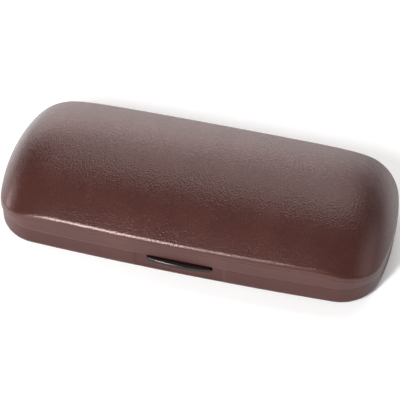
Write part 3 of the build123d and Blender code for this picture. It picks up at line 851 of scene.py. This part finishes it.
def make_lid():
    build = Build()
    notch = near_station(LID_NOTCH_START + SLACK, LID_NOTCH_END + SLACK)
    foot = np.where(notch, LID_NOTCH_TOP, SEAM_Z + SEAM_GAP)
    foot_inside = np.where(notch, LID_NOTCH_TOP_INSIDE, SEAM_Z + SEAM_GAP)
    inside = dome_rows(
        WALL, WALL, SHOULDER_RADIUS - WALL, foot_inside, wall_rows=4, arc_rows=5, crown_rows=6, core_rows=14
    )
    outside = []
    for a in np.linspace(0, pi / 2, LIP_ROWS)[:-1]:
        outside.append(ring(LIP_RADIUS * (1 - sin(a)), foot + LIP_RADIUS * (1 - cos(a))))
    outside += dome_rows(
        0.0, 0.0, SHOULDER_RADIUS, foot + LIP_RADIUS, wall_rows=8, arc_rows=15, crown_rows=14, core_rows=40,
        parting=True,
    )
    build.rows(inside[::-1] + outside)
    for station in STATIONS:
        x0 = station - LID_KNUCKLE_HALF
        x1 = station + LID_KNUCKLE_HALF
        build.barrel(x0, x1, KNUCKLE_RADIUS, PIN_HOLE_RADIUS, KNUCKLE_BEVEL, HINGE_Y, SEAM_Z)
        web = web_section(SEAM_Z + LID_WEB_REACH, LID_WEB_WALL_Y, LID_WEB_FOOT_Y)
        build.prism_x(x0, x1, web, KNUCKLE_BEVEL)
    boss = [
        (BOSS_FRONT_Y, BOSS_BOTTOM), (BOSS_BACK_Y, BOSS_BOTTOM),
        (BOSS_BACK_Y, BOSS_TOP), (BOSS_FRONT_Y, BOSS_TOP),
    ]
    build.prism_x(-BOSS_HALF, BOSS_HALF, boss, BOSS_BEVEL)
    lid = finish_mesh(
        "lid_shell_moulding", build.points, build.faces, LID_PLASTIC, SHELL_SHARP_ANGLE, "lid", ["lid_shell"],
    )
    mark_grain(lid.data)


def make_base():
    build = Build()
    notch = near_station(-SLACK, BASE_NOTCH_HALF + SLACK)
    slot = IS_FRONT & (np.abs(SIDE_X) < SLOT_HALF + SLACK)
    edge = SEAM_Z - SEAM_GAP
    top = np.where(slot, SLOT_BOTTOM, np.where(notch, BASE_NOTCH_BOTTOM, edge))
    top_inside = np.where(slot, SLOT_BOTTOM, np.where(notch, BASE_NOTCH_BOTTOM_INSIDE, edge))
    window = smooth_step((RECESS_HALF + RECESS_RAMP - np.abs(SIDE_X)) / RECESS_RAMP) * IS_FRONT

    def wall_ring(inset, z):
        sunk = RECESS_DEPTH * window * smooth_step((np.asarray(z) - RECESS_FOOT) / RECESS_RISE)
        return ring(BASE_INSET + inset + sunk, z)

    flat = [wall_ring(d, 0.0) for d in UNDERSIDE_INSETS]
    flat = to_middle(flat[0], lambda x, y: np.zeros(len(x)), CORE_ROWS_UNDER)[::-1] + flat
    curve = []
    for a in np.linspace(0, pi / 2, EDGE_ROWS):
        curve.append(wall_ring(BASE_EDGE_RADIUS * (1 - sin(a)), BASE_EDGE_RADIUS * (1 - cos(a))))
    wall = []
    for t in np.linspace(0, 1, WALL_ROWS)[1:]:
        wall.append(wall_ring(0.0, BASE_EDGE_RADIUS + (top - LIP_RADIUS - BASE_EDGE_RADIUS) * t))
    lip = []
    for a in np.linspace(0, pi / 2, LIP_ROWS)[1:]:
        lip.append(wall_ring(LIP_RADIUS * (1 - cos(a)), top - LIP_RADIUS + LIP_RADIUS * sin(a)))
    inner = []
    thickness = BASE_INSET + WALL
    for t in np.linspace(0, 1, INNER_WALL_ROWS):
        inner.append(ring(thickness, top_inside + (BASE_EDGE_RADIUS - top_inside) * t))
    for a in np.linspace(0, pi / 2, LIP_ROWS)[1:]:
        r = BASE_EDGE_RADIUS - WALL
        inner.append(ring(thickness + r * (1 - cos(a)), BASE_EDGE_RADIUS - r * sin(a)))
    inner.append(ring(CORE_INSET, WALL))
    inner += to_middle(inner[-1], lambda x, y: np.full(len(x), WALL), CORE_ROWS_INSIDE)
    build.rows(flat + curve + wall + lip + inner)
    for station in STATIONS:
        for side in (-1, 1):
            ends = sorted((station + side * BASE_KNUCKLE_START, station + side * BASE_KNUCKLE_END))
            build.barrel(ends[0], ends[1], KNUCKLE_RADIUS, PIN_HOLE_RADIUS, KNUCKLE_BEVEL, HINGE_Y, SEAM_Z)
            web = web_section(SEAM_Z - BASE_WEB_REACH, BASE_WEB_WALL_Y, BASE_WEB_FOOT_Y)
            build.prism_x(ends[0], ends[1], web, KNUCKLE_BEVEL)
    finish_mesh(
        "base_shell_moulding", build.points, build.faces, BASE_PLASTIC_SHADED, SHELL_SHARP_ANGLE, "base",
        ["base_shell"],
    )


def open_columns(gap):
    """Column numbers from one side of the front gap round the back to its other side."""
    clear = ~(IS_FRONT & (np.abs(SIDE_X) < gap))
    middle = int(np.argmin(np.where(IS_FRONT, np.abs(SIDE_X), np.inf)))
    order = [(middle + i) % COUNT for i in range(COUNT)]
    return [i for i in order if clear[i]]


def rim_section(inset, thickness, low, high, bevel):
    """Closed rounded section of a frame as (inset, height) pairs."""
    section = []
    for cx, cz, start in (
        (inset + bevel, low + bevel, pi), (inset + thickness - bevel, low + bevel, 1.5 * pi),
        (inset + thickness - bevel, high - bevel, 0.0), (inset + bevel, high - bevel, 0.5 * pi),
    ):
        for a in np.linspace(start, start + pi / 2, FRAME_CORNER_ROWS):
            section.append((cx + bevel * cos(a), cz + bevel * sin(a)))
    return section


def make_frame_strip(name, node, body, section, gap):
    build = Build()
    columns = open_columns(gap)
    build.strip([ring(inset, z)[columns] for inset, z in section])
    finish_mesh(name, build.points, build.faces, RIM_PLASTIC, RIM_SHARP_ANGLE, body, [node])


def make_spring(name, node, x):
    """A coil with closed ends, on a mesh of its own."""
    middle = (SPRING_FRONT + SPRING_BACK) / 2
    half = (SPRING_BACK - SPRING_FRONT) / 2 - SPRING_WIRE
    steps = int(SPRING_TURNS * SPRING_STEPS_PER_TURN)
    around = np.linspace(0, 2 * pi, SPRING_WIRE_SIDES + 1)[:-1]
    rows = []
    for share in np.linspace(-1, 1, steps):
        turn = SPRING_TURNS * pi * share
        y = middle + half * np.clip(share / (1 - SPRING_END_SHARE), -1, 1)
        outward = np.array([cos(turn), 0.0, sin(turn)])
        centre = np.array([x, y, SPRING_Z]) + SPRING_RADIUS * outward
        ring_points = np.outer(np.cos(around), outward) + np.outer(np.sin(around), (0.0, 1.0, 0.0))
        rows.append(centre + SPRING_WIRE * ring_points)
    build = Build()
    build.rows(rows)
    count = len(around)
    build.faces.append(tuple(range(count)))
    build.faces.append(tuple((steps - 1) * count + i for i in reversed(range(count))))
    spring = finish_mesh(
        name, build.points, build.faces, SPRING_STEEL, WIRE_SHARP_ANGLE, "base", [node]
    )
    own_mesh(spring)


# ---------- soft pieces ----------

def ripple(x, y, size, depth):
    """Slight softness of a lined surface."""
    return np.array([depth * noise.noise(Vector((a / size, b / size, RIPPLE_LEVEL))) for a, b in zip(x, y)])


def make_lid_lining():
    build = Build()
    notch = IS_FRONT & (np.abs(SIDE_X) < LID_RIM_GAP + SLACK)
    foot = np.where(notch, LINING_NOTCH_TOP, LINING_BOTTOM)
    outer = dome_rows(
        LINING_INSET, LINING_INSET, LINING_BACK_RADIUS, foot,
        wall_rows=3, arc_rows=4, crown_rows=5, core_rows=12,
    )
    depth = LINING_INSET + LINING_THICKNESS
    radius = LINING_LIP_RADIUS
    inner = dome_rows(
        depth, depth, LINING_RADIUS, foot + radius, wall_rows=6, arc_rows=10, crown_rows=10, core_rows=26
    )
    soft = []
    for i, row in enumerate(inner):
        share = min(1.0, i / LINING_EASE_ROWS)
        row = row.copy()
        swell = LINING_SWELL + ripple(row[:, 0], row[:, 1], LINING_RIPPLE_SIZE, LINING_RIPPLE)
        row[:, 2] -= share * swell
        soft.append(row)
    lip = []
    for a in np.linspace(0, pi / 2, LIP_ROWS)[:-1]:
        lip.append(ring(depth - radius * (1 - sin(a)), foot + radius * (1 - cos(a))))
    build.rows(outer[::-1] + lip + soft)
    lining = finish_mesh(
        "lid_velour", build.points, build.faces, VELOUR, SOFT_SHARP_ANGLE, "lid", ["lid_lining"]
    )


def step_round_block(row, half, back):
    """Moves the front of a row back behind the latch block."""
    row = row.copy()
    inside = IS_FRONT & (np.abs(SIDE_X) < half + SLACK)
    row[inside, 1] = np.maximum(row[inside, 1], back)
    return row


def tray_floor(x, y):
    return TRAY_FLOOR - TRAY_SAG + ripple(x, y, TRAY_RIPPLE_SIZE, TRAY_SAG)


def make_base_lining():
    build = Build()
    outer = []
    edge = TRAY_TOP - TRAY_LIP_DROP
    bend = TRAY_UNDER + TRAY_UNDER_RADIUS
    for t in np.linspace(0, 1, TRAY_EDGE_ROWS):
        outer.append(ring(TRAY_OUTER, edge + (bend - edge) * t))
    for a in np.linspace(0, pi / 2, TRAY_EDGE_ROWS)[1:]:
        outer.append(ring(TRAY_OUTER + TRAY_UNDER_RADIUS * (1 - cos(a)), bend - TRAY_UNDER_RADIUS * sin(a)))
    outer.append(ring(CORE_INSET, TRAY_UNDER))
    outer = [step_round_block(r, TRAY_BLOCK_HALF, TRAY_BLOCK_BACK) for r in outer]
    outer += to_middle(outer[-1], lambda x, y: np.full(len(x), TRAY_UNDER), CORE_ROWS_HIDDEN)
    lip = TRAY_LIP_RADIUS
    inner = [ring(TRAY_OUTER + TRAY_LIP_START, TRAY_TOP), ring(TRAY_INNER - lip, TRAY_TOP)]
    for a in np.linspace(0, pi / 2, LIP_ROWS)[1:]:
        inner.append(ring(TRAY_INNER - lip + lip * sin(a), TRAY_TOP - lip * (1 - cos(a))))
    low = TRAY_FLOOR + TRAY_RADIUS
    for t in TRAY_WALL_SHARES:
        inner.append(ring(TRAY_INNER, TRAY_TOP - lip + (low - TRAY_TOP + lip) * t))
    for a in np.linspace(0, pi / 2, TRAY_BEND_ROWS)[1:]:
        inner.append(ring(TRAY_INNER + TRAY_RADIUS * (1 - cos(a)), low - TRAY_RADIUS * sin(a)))
    inner.append(ring(CORE_INSET, TRAY_FLOOR))
    back = TRAY_BLOCK_BACK + LINING_THICKNESS
    inner = [step_round_block(r, TRAY_BLOCK_HALF + LINING_THICKNESS, back) for r in inner]
    inner += to_middle(inner[-1], tray_floor, CORE_ROWS_SOFT)
    build.rows(outer[::-1] + inner)
    lining = finish_mesh(
        "base_velour", build.points, build.faces, VELOUR, SOFT_SHARP_ANGLE, "base", ["base_lining"]
    )


def make_cushion():
    build = Build()
    points, outs = rounded_outline(
        CUSHION_HALF_LENGTH, CUSHION_HALF_DEPTH, CUSHION_CORNER, end_count=12, corner_count=16, side_count=26
    )
    shift = np.array([0.0, CUSHION_MIDDLE_Y])
    half = CUSHION_THICKNESS / 2

    def flat_ring(inset, z):
        xy = points - outs * inset + shift
        return np.column_stack([xy, np.full(len(xy), z)])

    def pull(row):
        """Sides draw in a little between the corners, and the top swells."""
        x = row[:, 0]
        y = row[:, 1] - CUSHION_MIDDLE_Y
        u = np.clip(1 - (x / CUSHION_HALF_LENGTH) ** 2, 0, 1)
        v = np.clip(1 - (y / CUSHION_HALF_DEPTH) ** 2, 0, 1)
        row[:, 1] -= CUSHION_DRAW_IN * u * y / CUSHION_HALF_DEPTH
        row[:, 0] -= CUSHION_DRAW_IN * v * x / CUSHION_HALF_LENGTH
        top = smooth_step((row[:, 2] - CUSHION_BOTTOM - half) / half)
        swell = CUSHION_CROWN * (u * v) ** CUSHION_CROWN_POWER - CUSHION_SINK
        row[:, 2] += top * (swell + ripple(x, y, CUSHION_RIPPLE_SIZE, CUSHION_RIPPLE))
        return row

    middle_x = CUSHION_HALF_LENGTH - CUSHION_HALF_DEPTH
    top_z = CUSHION_BOTTOM + CUSHION_THICKNESS

    def core(outer, z, count):
        """Level rows from a ring in to the pad's middle line."""
        goal_x = np.clip(outer[:, 0], -middle_x, middle_x)
        goal = np.column_stack([goal_x, np.full(len(outer), CUSHION_MIDDLE_Y)])
        result = []
        for u in np.linspace(0, 1, count + 1)[1:]:
            xy = outer[:, :2] * (1 - u) + goal * u
            result.append(np.column_stack([xy, np.full(len(xy), z)]))
        return result

    under_edge = flat_ring(CUSHION_UNDER_START, CUSHION_BOTTOM)
    under = core(under_edge, CUSHION_BOTTOM, CUSHION_CORE_ROWS_UNDER)[::-1] + [under_edge]
    side = []
    for a in np.linspace(-pi / 2, pi / 2, CUSHION_SIDE_ROWS):
        side.append(flat_ring(CUSHION_ROUND * (1 - cos(a)), CUSHION_BOTTOM + half + half * sin(a)))
    top = [flat_ring(CUSHION_FLAT_START, top_z), flat_ring(CUSHION_FLAT_END, top_z)]
    top += core(top[-1], top_z, CORE_ROWS_SOFT)
    build.rows([pull(r.copy()) for r in under + side + top])
    cushion = finish_mesh(
        "base_pad", build.points, build.faces, VELOUR, PAD_SHARP_ANGLE, "base", ["base_cushion"]
    )


# ---------- stage and camera ----------

def area_light(name, direction, distance, size_x, size_y, power, colour):
    """A rectangular light at a distance from the seam's middle, facing it."""
    data = bpy.data.lights.new(name, "AREA")
    data.shape = "RECTANGLE"
    data.size = size_x
    data.size_y = size_y
    data.energy = power
    data.color = colour
    light = bpy.data.objects.new(name, data)
    way = Vector(direction).normalized()
    light.location = way * distance + Vector((0, 0, SEAM_Z * MM))
    light.rotation_euler = way.to_track_quat("Z", "Y").to_euler()
    bpy.context.scene.collection.objects.link(light)


def make_stage():
    s = Shader("floor_white")
    tone = s.noise(scale=0.002, detail=2.0, rough=0.5).outputs["Fac"]
    s.set(color=s.mix(tone, FLOOR_DARK, FLOOR_LIGHT), rough=0.9, specular=0.1)
    s.set(glow=(1, 1, 1, 1), glow_strength=FLOOR_GLOW)
    mesh = bpy.data.meshes.new("floor")
    r = FLOOR_HALF
    mesh.from_pydata([(-r, -r, 0), (r, -r, 0), (r, r, 0), (-r, r, 0)], [], [(0, 1, 2, 3)])
    mesh.materials.append(s.material)
    floor = bpy.data.objects.new("floor", mesh)
    bpy.context.scene.collection.objects.link(floor)
    world = bpy.data.worlds.new("studio")
    world.use_nodes = True
    world.node_tree.nodes["Background"].inputs["Color"].default_value = WORLD_COLOUR
    world.node_tree.nodes["Background"].inputs["Strength"].default_value = WORLD_LIGHT
    bpy.context.scene.world = world
    for name, way, distance, wide, tall, power, colour in LIGHTS:
        area_light(name, way, distance, wide, tall, power, colour)


def make_camera():
    turn = radians(CAMERA_AZIMUTH)
    lift = radians(CAMERA_ELEVATION)
    back = Vector((sin(turn) * cos(lift), -cos(turn) * cos(lift), sin(lift)))
    data = bpy.data.cameras.new("camera")
    data.sensor_width = SENSOR_WIDTH
    data.lens = CAMERA_LENS
    data.shift_x = CAMERA_SHIFT_X
    data.shift_y = CAMERA_SHIFT_Y
    data.clip_end = CAMERA_REACH
    camera = bpy.data.objects.new("camera", data)
    camera.location = Vector((0, 0, SEAM_Z * MM)) + back * CAMERA_DISTANCE
    camera.rotation_euler = back.to_track_quat("Z", "Y").to_euler()
    bpy.context.scene.collection.objects.link(camera)
    bpy.context.scene.camera = camera
    bpy.context.scene.view_settings.view_transform = "Standard"


def repaint(material, slot, *nodes):
    """Gives CAD nodes that stay as they are their material. The slot is not used."""
    for name in nodes:
        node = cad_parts[name]
        node.data.materials.clear()
        node.data.materials.append(material)


make_lid()
make_base()
make_frame_strip(
    "base_frame", "base_rim", "base",
    rim_section(LIP_INSET, LIP_THICKNESS, LIP_BOTTOM, LIP_TOP, LIP_BEVEL), LIP_GAP - SLACK,
)
make_frame_strip(
    "lid_frame", "lid_rim", "lid",
    rim_section(LID_RIM_INSET, LID_RIM_THICKNESS, LID_RIM_BOTTOM, LID_RIM_TOP, LID_RIM_BEVEL),
    LID_RIM_GAP - SLACK,
)
make_lid_lining()
make_base_lining()
make_cushion()
repaint(BUTTON_PLASTIC, "button_plastic", "push_button")
repaint(RIM_PLASTIC, "rim_plastic", "latch_housing", "latch_cover")
repaint(
    STEEL, "steel", "hinge_pin_left", "hinge_pin_right", "latch_slide", "latch_slide_screws", "striker",
    "striker_screws", "latch_screws",
)
make_spring("left_button_coil", "button_spring_left", -SPRING_X)
make_spring("right_button_coil", "button_spring_right", SPRING_X)
make_stage()
make_camera()
